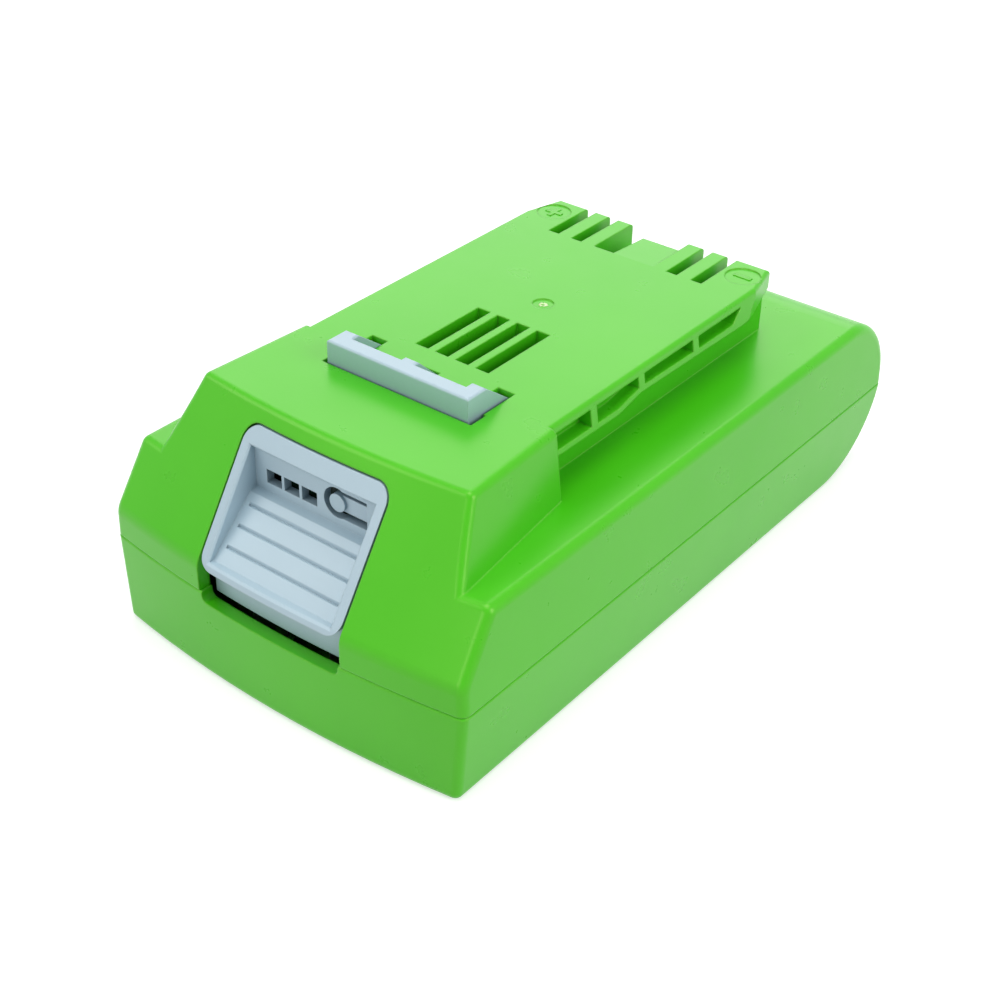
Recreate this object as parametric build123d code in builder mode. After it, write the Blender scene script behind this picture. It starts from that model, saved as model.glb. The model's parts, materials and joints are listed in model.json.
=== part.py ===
from build123d import *
import math
import os

os.makedirs("parts", exist_ok=True)

# Battery pack for a cordless power tool: a two-piece moulded case with a slide-on
# rail, a release latch with a thumb scoop, five cylindrical cells and the contacts.
# Lengths in millimetres. X runs across the pack, Y from the thumb scoop (front)
# to the contact comb (rear), Z up. The origin is the middle of the footprint.

# Cells, walls and gaps, which set the size of the pack
cell_count = 5
cell_radius = 9.2
cell_length = 65.0
cell_gap = 0.7
holder_wall = 0.7
wall = 2.3
side_wall = 1.8
deck_thickness = 2.3
fit_gap = 0.1
running_gap = 0.3
overrun = 20.0

cell_spacing = 2 * cell_radius + cell_gap
cell_row_length = (cell_count - 1) * cell_spacing
cell_holder_radius = cell_radius + fit_gap + holder_wall
cell_axis_z = wall + cell_holder_radius
holder_top_z = cell_axis_z + cell_holder_radius

# Whole pack: 71 wide, 124.4 long, 43.3 to the deck and 47.15 to the latch hook
side_room = 3.0
front_room = 26.4
rear_room = 21.6
parting_rise = 3.8
ledge_rise = 9.3
deck_rise = 11.7
latch_travel = 4.0
hook_sink = 0.15

case_width = cell_length + 2 * side_room
case_length = front_room + cell_row_length + rear_room
half_width = case_width / 2
front_y = -case_length / 2
rear_y = case_length / 2
parting_height = cell_axis_z + parting_rise
ledge_height = holder_top_z + ledge_rise
deck_height = ledge_height + deck_rise
deck_under_z = deck_height - deck_thickness
hook_height = deck_height + latch_travel - hook_sink

# Case outline
floor_draft = 1.1
ledge_draft = 0.6
rear_upper_radius = 12.8
case_edge_radius = 1.6
floor_edge_radius = 1.4
parting_reveal = 0.25

# Bowed front wall, leaning back above the crease
bow_radius = 220.0
crease_rise = 5.1
crease_radius = 4.0
front_lean_share = 0.64
front_lean_angle = math.atan(front_lean_share)
crease_height = parting_height + crease_rise
bow_center_y = front_y + bow_radius
deck_front_y = front_y + front_lean_share * (deck_height - crease_height)

# Tower between the thumb scoop and the rail
tower_length = 36.4
tower_front_flare = 2.24
tower_rear_flare = 1.14
tower_front_draft_share = 0.26
tower_rear_draft_share = 0.12
tower_edge_radius = 1.3
tower_rear_y = front_y + tower_length

# Rail that slides into the tool, with its flanges and neck
rail_side_inset = 11.44
rail_draft_share = 0.16
rail_rear_inset = 23.0
rail_corner_length = 7.3
rail_corner_cut = 1.86
rail_depth = 5.3
rail_edge_radius = 0.8
rail_skin = 1.4
rail_lip = 1.0
neck_inset = 2.76
pocket_inset = 1.86
pocket_rib = 1.65
pocket_end_top_inset = 12.6
pocket_end_low_inset = 15.1
rail_half_width = half_width - rail_side_inset
tower_front_half_width = rail_half_width + tower_front_flare
tower_rear_half_width = rail_half_width + tower_rear_flare
rail_rear_half_width = rail_half_width - rail_corner_cut
neck_half_width = rail_half_width - neck_inset
pocket_half_width = rail_half_width - pocket_inset
rail_rear_y = rear_y - rail_rear_inset
rail_corner_y = rail_rear_y - rail_corner_length
pocket_end_top_y = rail_rear_y - pocket_end_top_inset
pocket_end_low_y = rail_rear_y - pocket_end_low_inset
rail_length = rail_rear_y - tower_rear_y
rail_under_shares = (
    (0.0, 0.03),
    (0.258, 0.0),
    (0.351, 0.208),
    (0.612, 0.151),
    (0.818, 0.094),
    (1.0, 0.377),
)
pocket_rib_shares = (0.163, 0.358, 0.595)

# Channel that the ledge falls into beside the tower and the rail
channel_rim = 1.5
channel_inner_flare = 1.3
channel_core_inset = 5.2
channel_depth = 3.1
channel_start_inset = 16.2
channel_full_lag = 1.8
channel_end_inset = 5.2
channel_runout = 8.5
channel_fall_shares = (
    (-0.3, -0.2),
    (0.0, 0.0),
    (0.25, 0.23),
    (0.5, 0.5),
    (0.75, 0.77),
    (0.9, 0.92),
    (1.0, 0.98),
    (1.15, 1.0),
)
channel_outer_x = half_width - ledge_draft - channel_rim
channel_inner_x = tower_rear_half_width + channel_inner_flare
channel_core_x = tower_rear_half_width - channel_core_inset
channel_start_y = front_y + channel_start_inset
channel_full_y = tower_rear_y + channel_full_lag
channel_end_y = rail_rear_y - channel_end_inset

# Contact comb at the rear of the rail
comb_length = 12.0
comb_depth = 10.3
comb_wall = 1.0
blade_slot_width = 2.15
power_blade_share = 0.6187
signal_blade_share = 0.4144
key_slot_inner_share = 0.0819
key_slot_outer_share = 0.2535
middle_block_inset = 2.8
middle_block_fall = 0.6
comb_core_depth = 8.0
comb_core_inset = 6.2
power_blade_x = power_blade_share * rail_half_width
signal_blade_x = signal_blade_share * rail_half_width
key_slot_inner_x = key_slot_inner_share * rail_half_width
key_slot_outer_x = key_slot_outer_share * rail_half_width
comb_front_y = rail_rear_y - comb_length
comb_floor_z = deck_height - comb_depth
middle_block_rear_y = rail_rear_y - middle_block_inset
comb_core_y = rail_rear_y - comb_core_inset

# Deck details
vent_spacing = 4.0
vent_width = 2.55
vent_length = 15.7
vent_inset = 6.6
vent_count = 4
vent_collar_height = 0.6
vent_collar_wall = 1.5
gate_share = 0.257
gate_radius = 1.8
gate_depth = 0.2
gate_stub_radius = 0.5
sign_radius = 3.1
sign_depth = 0.2
sign_side_inset = 4.16
sign_rear_inset = 5.1
vent_center_y = tower_rear_y + vent_inset + vent_length / 2
vent_rear_y = vent_center_y + vent_length / 2
gate_y = vent_rear_y + gate_share * (comb_front_y - vent_rear_y)
sign_x = rail_half_width - sign_side_inset
sign_y = rail_rear_y - sign_rear_inset

# Release latch: button, thumb scoop, side rails and hook
button_half_width = 14.05
button_back_lead = 0.644
button_rise = 4.7
button_corner_radius = 2.6
button_wall = 1.65
panel_thickness = 1.5
scoop_half_width = 12.3
scoop_top_drop = 5.1
scoop_step_drop = 13.2
scoop_step_gap = 3.0
scoop_lip_rise = 1.2
scoop_lip_depth = 2.0
scoop_shell = 1.5
scoop_edge = 0.3
panel_top_drop = 0.6
panel_foot_rise = 0.3
groove_spacing = 2.6
groove_start_gap = 1.3
groove_count = 3
groove_width = 0.5
groove_depth = 0.35
groove_margin = 1.0
skirt_inset = 2.9
skirt_thickness = 1.5
skirt_half_width = 13.6
skirt_reach = 1.1
skirt_root = 1.6
latch_rail_inner_x = 11.15
latch_rail_outer_x = 13.85
latch_rail_drop = 7.8
hook_lead = 6.5
hook_thickness = 2.9
hook_root_drop = 7.3
hook_arm_lead = 2.4
hook_arm_length = 6.3
hook_arm_fall_share = 0.74
hook_rib_half_width = 1.35
hook_rib_lead = 2.85
hook_rib_length = 4.45
hook_rib_fall_share = 0.928
hook_edge_radius = 0.4
button_back_y = deck_front_y - button_back_lead
button_low_z = parting_height + button_rise
scoop_step_y = button_back_y - scoop_step_gap
scoop_step_z = deck_height - scoop_step_drop
scoop_lip_y = front_y + scoop_lip_depth
scoop_lip_z = button_low_z + scoop_lip_rise
scoop_top_z = deck_height - scoop_top_drop
panel_top_z = scoop_top_z - panel_top_drop
panel_low_z = scoop_step_z + panel_foot_rise
groove_start_y = scoop_step_y - groove_start_gap
skirt_low_z = parting_height - skirt_reach
latch_rail_low_z = deck_height - latch_rail_drop
hook_low_z = deck_height - hook_root_drop
hook_front_y = tower_rear_y - hook_lead
hook_rear_y = hook_front_y + hook_thickness
hook_arm_top_y = tower_rear_y - hook_arm_lead
hook_arm_rear_y = hook_arm_top_y + hook_arm_length
hook_rib_top_y = tower_rear_y - hook_rib_lead
hook_rib_rear_y = hook_rib_top_y + hook_rib_length

# Openings in the case for the latch
latch_opening_half_width = 14.4
notch_half_width = 13.95
notch_depth = 1.75
notch_corner_radius = 1.2
hook_slot_half_width = 14.7
hook_slot_gap = 0.3
arm_slot_gap = 0.4
guide_rib_thickness = 1.5
guide_rib_drop = 12.3
guide_rib_start = 2.7
guide_rib_length = 10.0
notch_low_z = parting_height - notch_depth
guide_rib_low_z = deck_height - guide_rib_drop
guide_rib_front_y = button_back_y + guide_rib_start

# Charge windows and test tongue in the scoop's panel
window_x = -4.97
window_spacing = 3.575
window_count = 3
window_width = 3.05
window_height = 2.42
window_drop = 10.27
keyhole_x = 4.15
keyhole_drop = 9.05
keyhole_radius = 2.6
keyhole_slot_half_height = 2.35
keyhole_length = 5.8
tongue_pad_radius = 1.5
tongue_half_height = 1.35
tongue_recess = 0.5
tongue_root_gap = 0.15
window_z = deck_height - window_drop
keyhole_z = deck_height - keyhole_drop
keyhole_end_x = keyhole_x + keyhole_length

# Latch springs
spring_x = 8.0
spring_depth = 8.7
spring_wire = 0.6
spring_mean_radius = 2.3
spring_seat_rise = 0.2
spring_foot_rise = 2.0
spring_post_radius = 2.7
spring_peg_radius = 1.6
spring_peg_length = 2.5
spring_cup_radius = 3.9
spring_cup_bore = 2.9
spring_cup_depth = 2.0
spring_y = front_y + spring_depth
spring_seat_z = button_low_z + spring_seat_rise
spring_foot_z = wall + spring_foot_rise

# Case screws
screw_front_side_inset = 8.0
screw_front_inset = 8.2
screw_rear_side_inset = 6.0
screw_rear_inset = 6.7
boss_radius = 4.5
screw_seat_drop = 7.6
screw_reach = 7.9
screw_head_radius = 2.6
screw_head_height = 1.8
screw_shank_radius = 1.4
screw_drive_width = 0.7
screw_drive_depth = 0.9
screw_seat_z = parting_height - screw_seat_drop
screw_tip_z = parting_height + screw_reach
screw_places = [
    (side * (half_width - side_inset), y)
    for side in (-1, 1)
    for side_inset, y in (
        (screw_front_side_inset, front_y + screw_front_inset),
        (screw_rear_side_inset, rear_y - screw_rear_inset),
    )
]

# Cells in their holders, with strips, leads and insulators
cell_cap_radius = 3.0
cell_cap_height = 0.6
cell_crimp_offset = 3.0
cell_crimp_width = 1.0
cell_crimp_depth = 0.5
holder_depth = 10.0
strip_thickness = 0.2
strip_width = 8.0
strip_slit_width = 0.8
insulator_thickness = 0.2
insulator_half_height = 6.3
insulator_end = 5.0
lead_width = 6.0
lead_reach = 9.5
cell_row_y = front_y + front_room + cell_row_length / 2
cell_places = [front_y + front_room + i * cell_spacing for i in range(cell_count)]

# Boards and what they carry
board_side_inset = 8.5
board_front_inset = 14.7
board_rear_inset = 17.7
board_thickness = 1.6
board_stand = 0.9
board_post_radius = 1.8
board_corner_radius = 1.5
lamp_gap = 0.4
lamp_depth = 1.0
lamp_width = 2.0
lamp_height = 1.6
indicator_half_width = 10.6
indicator_top_drop = 4.1
header_half_width = 8.0
header_depth = 2.5
header_height = 2.5
switch_half_width = 1.75
switch_half_height = 1.5
switch_depth = 0.65
plunger_radius = 0.8
plunger_reach = 0.2
transistor_width = 6.5
transistor_length = 6.1
transistor_height = 2.3
transistor_tab_length = 2.6
transistor_tab_height = 0.6
transistor_spacing = 10.0
transistor_count = 3
transistor_share = 0.8252
chip_size = 7.0
chip_height = 1.0
chip_x = 10.0
chip_share = 0.528
shunt_length = 6.4
shunt_width = 3.2
shunt_height = 0.9
shunt_x = -12.0
fuse_length = 9.0
fuse_width = 3.6
fuse_height = 2.6
fuse_cap_length = 1.8
fuse_share = 0.3007
thermistor_radius = 1.2
thermistor_length = 3.6
thermistor_leg_radius = 0.25
board_half_width = half_width - board_side_inset
board_front_y = front_y + board_front_inset
board_rear_y = rear_y - board_rear_inset
board_bottom_z = holder_top_z + board_stand
board_top_z = board_bottom_z + board_thickness
indicator_front_y = button_back_y + lamp_gap + lamp_depth
indicator_rear_y = indicator_front_y + board_thickness
indicator_top_z = deck_under_z - indicator_top_drop

# Contacts and their carrier
contact_sheet = 0.5
contact_rear_gap = 1.6
contact_mouth_length = 2.0
contact_neck_length = 4.1
contact_body_length = 4.5
contact_height = 7.0
contact_mouth_half = 1.05
contact_pinch_half = 0.35
contact_bulge_half = 0.95
contact_leg_share = 0.2441
carrier_front_gap = 1.0
carrier_rear_gap = 0.3
carrier_base_rise = 0.4
carrier_partition_share = 0.2034
carrier_inner_gap = 2.37
carrier_partition_height = 7.1
blade_pair_width = power_blade_x - signal_blade_x
contact_leg_half_width = contact_leg_share * blade_pair_width
carrier_partition = carrier_partition_share * blade_pair_width
carrier_edge_x = (power_blade_x + contact_leg_half_width + neck_half_width - wall) / 2
carrier_inner_x = signal_blade_x - carrier_inner_gap
blade_places = [-power_blade_x, -signal_blade_x, signal_blade_x, power_blade_x]
contact_mouth_y = comb_front_y - contact_rear_gap
contact_pinch_y = contact_mouth_y - contact_mouth_length
contact_bulge_y = contact_pinch_y - contact_neck_length
contact_closed_y = contact_bulge_y - contact_body_length
carrier_front_y = contact_closed_y - carrier_front_gap
carrier_rear_y = contact_mouth_y + carrier_rear_gap
carrier_base_z = comb_floor_z + carrier_base_rise

# Free stretch of the main board, from the header to the contact carrier
free_front_y = indicator_rear_y + header_depth
free_length = carrier_front_y - free_front_y
transistor_y = free_front_y + transistor_share * free_length
chip_y = free_front_y + chip_share * free_length
fuse_y = free_front_y + fuse_share * free_length


def finish(piece, label):
    """Name the finished piece and write it out."""
    piece.part.label = label
    export_step(piece.part, "parts/" + label + ".step")


def front_waste(inset):
    """What lies ahead of the bowed front wall and its leaning face, drawn in by inset."""
    lean_inset = inset / math.cos(front_lean_angle)
    turn_z = crease_height - (lean_inset - inset) / front_lean_share
    top_z = hook_height + overrun
    top_radius = bow_radius - lean_inset - front_lean_share * (top_z - crease_height)
    wall_y = bow_center_y + bow_radius - inset
    outer_y = bow_center_y + bow_radius + 2 * overrun
    with BuildPart() as waste:
        with BuildSketch(Plane.YZ) as profile:
            with BuildLine():
                Polyline(
                    (wall_y, -overrun),
                    (wall_y, turn_z),
                    (bow_center_y + top_radius, top_z),
                    (outer_y, top_z),
                    (outer_y, -overrun),
                    close=True,
                )
            make_face()
            fillet(profile.vertices().sort_by_distance((wall_y, turn_z))[0], crease_radius)
        revolve(axis=Axis((0, bow_center_y, 0), (0, 0, 1)))
    return waste.part


def lower_block(side_inset, inset, edge_radius):
    """Lower half of the case as a block, drawn in by its walls on all sides but the top."""
    low_half = half_width - floor_draft * (1 - inset / parting_height) - side_inset
    top_half = half_width - side_inset
    arc_y = rear_y - parting_height
    with BuildPart() as block:
        with BuildSketch(Plane.XZ.offset(-rear_y)):
            with BuildLine():
                Polyline(
                    (-low_half, inset),
                    (low_half, inset),
                    (top_half, parting_height),
                    (-top_half, parting_height),
                    close=True,
                )
            make_face()
        extrude(amount=case_length + overrun)
        with BuildSketch(Plane.YZ):
            with BuildLine():
                Polyline((front_y - overrun, parting_height), (front_y - overrun, inset), (arc_y, inset))
                TangentArc((arc_y, inset), (rear_y - inset, parting_height), tangent=(1, 0))
                Line((rear_y - inset, parting_height), (front_y - overrun, parting_height))
            make_face()
        extrude(amount=case_width, both=True, mode=Mode.INTERSECT)
        add(front_waste(inset), mode=Mode.SUBTRACT)
        if edge_radius:
            sides = block.edges().filter_by(lambda e: abs(e.center().X) > half_width / 2)
            sides = sides - block.edges().group_by(Axis.Z)[-1]
            toe = block.edges().group_by(Axis.Z)[0].sort_by(Axis.Y)[0]
            fillet(sides + [toe], edge_radius)
            chamfer(block.edges().group_by(Axis.Z)[-1], parting_reveal)
    return block.part


def upper_block(side_inset, inset, edge_radius):
    """Upper half of the case up to the ledge as a block, drawn in by its walls."""
    low_half = half_width - side_inset
    rise_share = (ledge_height - inset - parting_height) / (ledge_height - parting_height)
    top_half = half_width - ledge_draft * rise_share - side_inset
    arc_y = rear_y - rear_upper_radius
    arc_z = ledge_height - rear_upper_radius
    with BuildPart() as block:
        with BuildSketch(Plane.XZ.offset(-rear_y)):
            with BuildLine():
                Polyline(
                    (-low_half, parting_height),
                    (low_half, parting_height),
                    (top_half, ledge_height - inset),
                    (-top_half, ledge_height - inset),
                    close=True,
                )
            make_face()
        extrude(amount=case_length + overrun)
        with BuildSketch(Plane.YZ):
            with BuildLine():
                Polyline(
                    (arc_y, ledge_height - inset),
                    (front_y - overrun, ledge_height - inset),
                    (front_y - overrun, parting_height),
                    (rear_y - inset, parting_height),
                    (rear_y - inset, arc_z),
                )
                TangentArc((rear_y - inset, arc_z), (arc_y, ledge_height - inset), tangent=(0, 1))
            make_face()
        extrude(amount=case_width, both=True, mode=Mode.INTERSECT)
        add(front_waste(inset), mode=Mode.SUBTRACT)
        if edge_radius:
            sides = block.edges().filter_by(lambda e: abs(e.center().X) > half_width / 2)
            sides = sides - block.edges().group_by(Axis.Z)[0]
            brow = block.edges().group_by(Axis.Z)[-1].sort_by(Axis.Y)[0]
            fillet(sides + [brow], edge_radius)
            chamfer(block.edges().group_by(Axis.Z)[0], parting_reveal)
    return block.part


def channel_waste(drop):
    """Space above the channel that the ledge falls into, both sides, lowered by drop."""
    fall_y = channel_full_y - channel_start_y
    down = [(channel_start_y + place * fall_y, depth) for place, depth in channel_fall_shares]
    level = [((channel_full_y + channel_end_y) / 2, 1)]
    rise = [(channel_end_y + (1 - place) * channel_runout, depth) for place, depth in channel_fall_shares]
    rim_z = ledge_height - drop
    with BuildPart() as waste:
        for y, depth in down + level + rise[::-1]:
            inner_z = rim_z - depth * channel_depth
            with BuildSketch(Plane.XZ.offset(-y)):
                with BuildLine():
                    Polyline(
                        (channel_outer_x, rim_z),
                        (channel_outer_x, rim_z + overrun),
                        (channel_core_x, rim_z + overrun),
                        (channel_core_x, inner_z),
                        (channel_inner_x, inner_z),
                        close=True,
                    )
                make_face()
        loft()
        mirror(about=Plane.YZ)
    return waste.part


def tower_half_width(y, z):
    """Half width of the tower, which narrows and stands more upright to the rear."""
    share = (y - tower_rear_y) / (deck_front_y - tower_rear_y)
    deck_half = tower_rear_half_width + share * (tower_front_half_width - tower_rear_half_width)
    draft_share = tower_rear_draft_share + share * (tower_front_draft_share - tower_rear_draft_share)
    return deck_half + draft_share * (deck_height - z)


def tower_block(inset, low_z, top_z, edge_radius):
    """The tower, drafted on its sides, drawn in by inset."""
    with BuildPart() as block:
        for y in (tower_rear_y - inset, front_y - overrun):
            low_half = tower_half_width(y, low_z) - inset
            top_half = tower_half_width(y, top_z) - inset
            with BuildSketch(Plane.XZ.offset(-y)):
                with BuildLine():
                    Polyline(
                        (-low_half, low_z),
                        (low_half, low_z),
                        (top_half, top_z),
                        (-top_half, top_z),
                        close=True,
                    )
                make_face()
        loft(ruled=True)
        add(front_waste(inset), mode=Mode.SUBTRACT)
        if edge_radius:
            crown = block.edges().group_by(Axis.Z)[-1].sort_by(Axis.Y)[:-1]
            corners = block.edges().filter_by(
                lambda e: abs(e.center().X) > tower_rear_half_width / 2
                and e.center().Y < deck_front_y
                and e.center().Z > (low_z + ledge_height) / 2
            )
            fillet(crown + corners, edge_radius)
    return block.part


def rail_under(y_share, rise_share):
    """A place on the flange's wavy underside."""
    return (tower_rear_y + y_share * rail_length, deck_height - rail_depth * (1 - rise_share))


def rail_block(front_y_in_tower, foot_z):
    """Neck and flanged rail, with the ribbed pockets in both flange sides."""
    with BuildPart() as rail:
        with BuildSketch(Plane.XZ.offset(-rail_rear_y)):
            with BuildLine():
                foot_half = rail_half_width + rail_draft_share * (deck_height - foot_z)
                Polyline(
                    (-foot_half, foot_z),
                    (foot_half, foot_z),
                    (rail_half_width, deck_height),
                    (-rail_half_width, deck_height),
                    close=True,
                )
            make_face()
        extrude(amount=rail_rear_y - front_y_in_tower)
        corner_dx = rail_half_width - rail_rear_half_width
        corner_dy = rail_corner_y - rail_rear_y
        for side in (-1, 1):
            with BuildSketch(Plane.XY.offset(foot_z)):
                with BuildLine():
                    Polyline(
                        (side * (rail_half_width + 2 * corner_dx), rail_corner_y + 2 * corner_dy),
                        (side * (rail_rear_half_width - corner_dx), rail_rear_y - corner_dy),
                        (side * (rail_half_width + overrun), rail_rear_y - corner_dy),
                        (side * (rail_half_width + overrun), rail_corner_y + 2 * corner_dy),
                        close=True,
                    )
                make_face()
            extrude(amount=deck_height, mode=Mode.SUBTRACT)
        crown = rail.edges().group_by(Axis.Z)[-1]
        fillet(crown - crown.group_by(Axis.Y)[0], rail_edge_radius)
        for side in (-1, 1):
            with BuildSketch(Plane.YZ.offset(side * neck_half_width)):
                with BuildLine():
                    Polyline(
                        (front_y_in_tower - overrun, foot_z - overrun),
                        (front_y_in_tower - overrun, rail_under(*rail_under_shares[0])[1]),
                        *[rail_under(*place) for place in rail_under_shares],
                        (rail_rear_y + overrun, rail_under(*rail_under_shares[-1])[1]),
                        (rail_rear_y + overrun, foot_z - overrun),
                        close=True,
                    )
                make_face()
            extrude(amount=side * overrun, mode=Mode.SUBTRACT)
            pocket_top_z = deck_height - rail_skin
            with BuildSketch(Plane.YZ.offset(side * pocket_half_width)):
                with BuildLine():
                    start = rail_under(*rail_under_shares[0])
                    low = [rail_under(*place) for place in rail_under_shares[1:-2]]
                    Polyline(
                        (front_y_in_tower, pocket_top_z),
                        (front_y_in_tower, start[1] + rail_lip),
                        *[(y, z + rail_lip) for y, z in low],
                        (pocket_end_low_y, low[-1][1] + rail_lip),
                        (pocket_end_top_y, pocket_top_z),
                        close=True,
                    )
                make_face()
                for share in pocket_rib_shares:
                    with Locations((tower_rear_y + share * rail_length, pocket_top_z)):
                        Rectangle(pocket_rib, 2 * rail_depth, mode=Mode.SUBTRACT)
            extrude(amount=side * overrun, mode=Mode.SUBTRACT)
    return rail.part


# Space inside the upper housing, with its screw bosses and latch guides left standing
with BuildPart() as upper_cavity:
    add(upper_block(side_wall, wall, 0))
    add(channel_waste(wall), mode=Mode.SUBTRACT)
    add(tower_block(wall, crease_height, deck_under_z, 0))
    neck_front_y = tower_rear_y - 2 * wall
    neck_inner_rear_y = comb_front_y - comb_wall
    with BuildSketch(Plane.XY.offset(parting_height)):
        with Locations((0, (neck_front_y + neck_inner_rear_y) / 2)):
            Rectangle(2 * (neck_half_width - wall), neck_inner_rear_y - neck_front_y)
    extrude(amount=deck_under_z - parting_height)
    with BuildSketch(Plane.XY.offset(parting_height)):
        with Locations(*screw_places):
            Circle(boss_radius)
    extrude(amount=deck_height - parting_height, mode=Mode.SUBTRACT)
    guide_x = latch_opening_half_width + guide_rib_thickness / 2
    with BuildSketch(Plane.XY.offset(guide_rib_low_z)):
        guide_y = guide_rib_front_y + guide_rib_length / 2
        with Locations((-guide_x, guide_y), (guide_x, guide_y)):
            Rectangle(guide_rib_thickness, guide_rib_length)
    extrude(amount=deck_height - guide_rib_low_z, mode=Mode.SUBTRACT)

# Upper housing
with BuildPart() as upper_housing:
    add(upper_block(0, 0, case_edge_radius))
    add(channel_waste(0), mode=Mode.SUBTRACT)
    block_foot_z = ledge_height - channel_depth - wall
    add(tower_block(0, block_foot_z, deck_height, tower_edge_radius))
    add(rail_block(tower_rear_y - wall, block_foot_z))
    add(upper_cavity.part, mode=Mode.SUBTRACT)

    # vent collar under the deck, then the vent slots through both
    collar_width = (vent_count - 1) * vent_spacing + vent_width + 2 * vent_collar_wall
    with BuildSketch(Plane.XY.offset(deck_under_z - vent_collar_height)):
        with Locations((0, vent_center_y)):
            Rectangle(collar_width, vent_length + 2 * vent_collar_wall)
    extrude(amount=deck_thickness / 2 + vent_collar_height)
    with BuildSketch(Plane.XY.offset(deck_height)):
        with Locations((0, vent_center_y)):
            with GridLocations(vent_spacing, vent_spacing, vent_count, 1):
                Rectangle(vent_width, vent_length)
    extrude(amount=-deck_thickness - vent_collar_height, mode=Mode.SUBTRACT)

    # shallow moulding gate mark on the deck
    with BuildSketch(Plane.XY.offset(deck_height)):
        with Locations((0, gate_y)):
            Circle(gate_radius)
            Circle(gate_stub_radius, mode=Mode.SUBTRACT)
    extrude(amount=-gate_depth, mode=Mode.SUBTRACT)

    # round recesses for the two signs beside the comb
    with BuildSketch(Plane.XY.offset(deck_height)):
        with Locations((-sign_x, sign_y), (sign_x, sign_y)):
            Circle(sign_radius)
    extrude(amount=-sign_depth, mode=Mode.SUBTRACT)

    # slots through the deck for the hook's bar, its two side arms and its middle rib
    with BuildSketch(Plane.XY.offset(deck_height)):
        bar_front = hook_front_y - hook_slot_gap
        bar_rear = hook_rear_y + hook_slot_gap
        with Locations((0, (bar_front + bar_rear) / 2)):
            Rectangle(2 * hook_slot_half_width, bar_rear - bar_front)
        arm_rear = hook_arm_rear_y + arm_slot_gap
        arm_inner = latch_rail_inner_x - fit_gap
        arm_outer = latch_rail_outer_x + arm_slot_gap
        arm_x = (arm_inner + arm_outer) / 2
        arm_y = (bar_front + arm_rear) / 2
        with Locations((-arm_x, arm_y), (arm_x, arm_y)):
            Rectangle(arm_outer - arm_inner, arm_rear - bar_front)
        rib_rear = hook_rib_rear_y + hook_slot_gap
        with Locations((0, (bar_front + rib_rear) / 2)):
            Rectangle(2 * (hook_rib_half_width + hook_slot_gap), rib_rear - bar_front)
    extrude(amount=-deck_thickness, mode=Mode.SUBTRACT)

    # opening in the leaning front wall for the latch button
    with BuildSketch(Plane.XZ.offset(-button_back_y - wall)) as latch_opening:
        with Locations((0, (deck_under_z + parting_height) / 2)):
            Rectangle(2 * latch_opening_half_width, deck_under_z - parting_height)
        top_corners = latch_opening.vertices().group_by(Axis.Y)[-1]
        fillet(top_corners, button_corner_radius + running_gap)
    extrude(amount=overrun, mode=Mode.SUBTRACT)

    # comb slots, open to the rear: four for blades, one wide slot for the tool's key
    with BuildSketch(Plane.XY.offset(comb_floor_z)):
        with Locations(*[(x, comb_front_y + comb_length) for x in blade_places]):
            Rectangle(blade_slot_width, 2 * comb_length)
        with Locations((-(key_slot_inner_x + key_slot_outer_x) / 2, comb_front_y + comb_length)):
            Rectangle(key_slot_outer_x - key_slot_inner_x, 2 * comb_length)
        with Locations(((key_slot_outer_x - key_slot_inner_x) / 2, middle_block_rear_y + comb_length)):
            Rectangle(key_slot_outer_x + key_slot_inner_x, 2 * comb_length)
    extrude(amount=deck_height, mode=Mode.SUBTRACT)

    # blade windows through the comb's front wall, under the deck
    with BuildSketch(Plane.XY.offset(comb_floor_z)):
        with Locations(*[(x, comb_front_y - comb_wall / 2) for x in blade_places]):
            Rectangle(blade_slot_width, 2 * comb_wall)
    extrude(amount=deck_under_z - comb_floor_z, mode=Mode.SUBTRACT)

    # the middle block of the comb falls away to the rear
    with BuildSketch(Plane.YZ.offset(-key_slot_inner_x)):
        with BuildLine():
            Polyline(
                (comb_front_y, deck_height),
                (middle_block_rear_y, deck_height - middle_block_fall),
                (middle_block_rear_y, deck_height + middle_block_fall),
                (comb_front_y, deck_height + middle_block_fall),
                close=True,
            )
        make_face()
    extrude(amount=key_slot_outer_x + key_slot_inner_x, mode=Mode.SUBTRACT)

    # the comb's thick blocks are cored out from below
    side_core = rail_rear_half_width - power_blade_x - blade_slot_width / 2 - 2 * wall
    middle_core = key_slot_outer_x + key_slot_inner_x - 2 * wall
    side_core_x = power_blade_x + blade_slot_width / 2 + wall + side_core / 2
    with BuildSketch(Plane.XY.offset(ledge_height - 2 * wall)):
        with Locations((-side_core_x, comb_core_y), (side_core_x, comb_core_y)):
            Rectangle(side_core, comb_core_depth)
        middle_x = (key_slot_outer_x - key_slot_inner_x) / 2
        with Locations((middle_x, middle_block_rear_y - wall - comb_core_depth / 2)):
            Rectangle(middle_core, comb_core_depth)
    extrude(amount=deck_under_z - ledge_height + 2 * wall, mode=Mode.SUBTRACT)

    # pilot holes for the case screws
    with BuildSketch(Plane.XY.offset(parting_height)):
        with Locations(*screw_places):
            Circle(screw_shank_radius + fit_gap / 2)
    extrude(amount=screw_tip_z + wall / 2 - parting_height, mode=Mode.SUBTRACT)

finish(upper_housing, "upper_housing")

# Space inside the lower housing, with its screw bosses left standing
with BuildPart() as lower_cavity:
    add(lower_block(side_wall, wall, 0))
    with BuildSketch(Plane.XY):
        with Locations(*screw_places):
            Circle(boss_radius)
    extrude(amount=parting_height, mode=Mode.SUBTRACT)

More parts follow.
